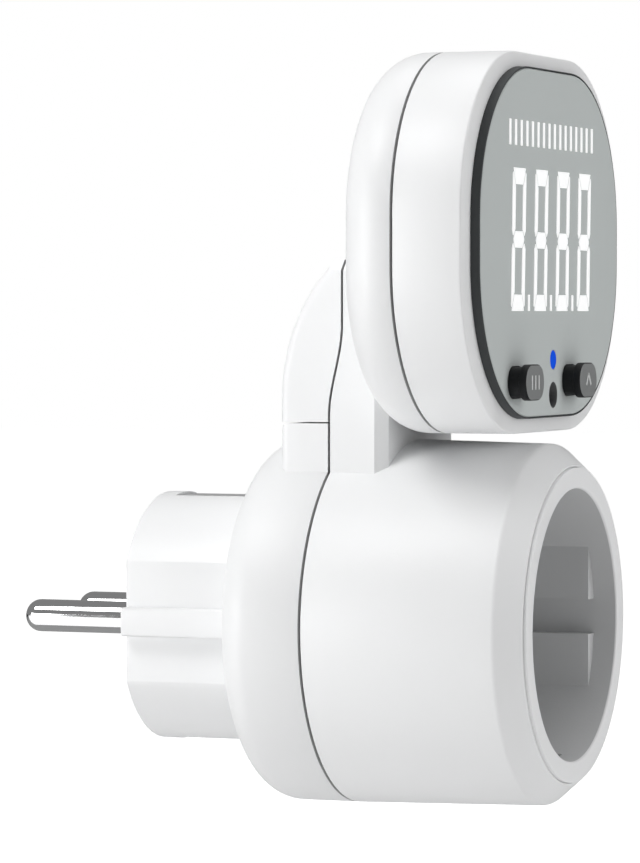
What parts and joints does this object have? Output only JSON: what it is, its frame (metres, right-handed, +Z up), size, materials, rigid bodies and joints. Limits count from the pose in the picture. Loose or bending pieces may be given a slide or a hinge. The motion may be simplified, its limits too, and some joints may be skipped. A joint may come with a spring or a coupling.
{
  "type": "plug-through energy monitor",
  "caption": "Mains plug-through energy meter: plug behind, round body with an earthed socket in front, and a display head with push buttons on a neck above the body.",
  "frame": {"origin": "centre of the plug's front face, midway between the two mains pins", "axes": "+Y along the pins, into the wall; -Y is the way the socket and the display face; +Z up, from the plug to the display head; +X to the right as seen from the front"},
  "size_m": [0.0714, 0.083, 0.1091],
  "materials": {
    "white_plastic": "satin",
    "socket_plastic": "satin",
    "pin_metal": "polished",
    "contact_brass": "satin",
    "panel_edge": "satin",
    "panel_face": "satin",
    "display_white": "matte",
    "indicator_blue": "glossy",
    "button_plastic": "matte",
    "hole_black": "matte",
    "board_green": "satin",
    "component_black": "matte",
    "capacitor_yellow": "glossy",
    "connector_ivory": "matte",
    "cable_grey": "matte",
    "screw_steel": "satin",
    "shutter_ivory": "matte",
    "shunt_alloy": "satin"
  },
  "bodies": {
    "housing": {"rear_casing": "white_plastic", "front_casing": "white_plastic", "neck_cover": "white_plastic", "socket_insert": "socket_plastic", "shutter_retainer": "socket_plastic", "plug_pins": "pin_metal", "pin_carrier": "socket_plastic", "earth_strips": "pin_metal", "live_contact": "contact_brass", "neutral_contact": "contact_brass", "metering_board": "board_green", "film_capacitor": "capacitor_yellow", "filter_capacitor": "component_black", "shunt_resistor": "shunt_alloy", "meter_chip": "component_black", "board_connector": "connector_ivory", "wire_harness": "cable_grey", "casing_screws": "screw_steel", "neck_screws": "screw_steel", "head_rear_shell": "white_plastic", "head_bezel": "white_plastic", "panel_frame": "panel_edge", "display_panel": "panel_face", "display_digits": "display_white", "bar_scale": "display_white", "led_lens": "indicator_blue", "tact_switches": "screw_steel", "head_board": "board_green", "display_module": "component_black", "indicator_led": "connector_ivory", "control_chip": "component_black", "head_connector": "connector_ivory", "head_screws": "screw_steel"},
    "mode_key": {"mode_button": "button_plastic", "mode_plunger": "component_black"},
    "up_key": {"up_button": "button_plastic", "up_plunger": "component_black"},
    "reset_key": {"reset_button": "hole_black", "reset_plunger": "component_black"},
    "shutter": {"shutter_disc": "shutter_ivory", "shutter_spring": "screw_steel"}
  },
  "joints": [
    {"name": "mode_press", "type": "slide", "parent": "housing", "child": "mode_key", "axis": [0, 1, 0], "range_m": [0, 0.0005], "stiffness_N_per_m": 4000, "springref_m": -0.0001},
    {"name": "up_press", "type": "slide", "parent": "housing", "child": "up_key", "axis": [0, 1, 0], "range_m": [0, 0.0005], "stiffness_N_per_m": 4000, "springref_m": -0.0001},
    {"name": "reset_press", "type": "slide", "parent": "housing", "child": "reset_key", "axis": [0, 1, 0], "range_m": [0, 0.0005], "stiffness_N_per_m": 4000, "springref_m": -0.0001},
    {"name": "shutter_turn", "type": "hinge", "parent": "housing", "child": "shutter", "pos_m": [0, -0.04245, 0], "axis": [0, -1, 0], "range_deg": [0, 40], "stiffness_Nm_per_rad": 0.02, "springref_deg": -5.73}
  ]
}
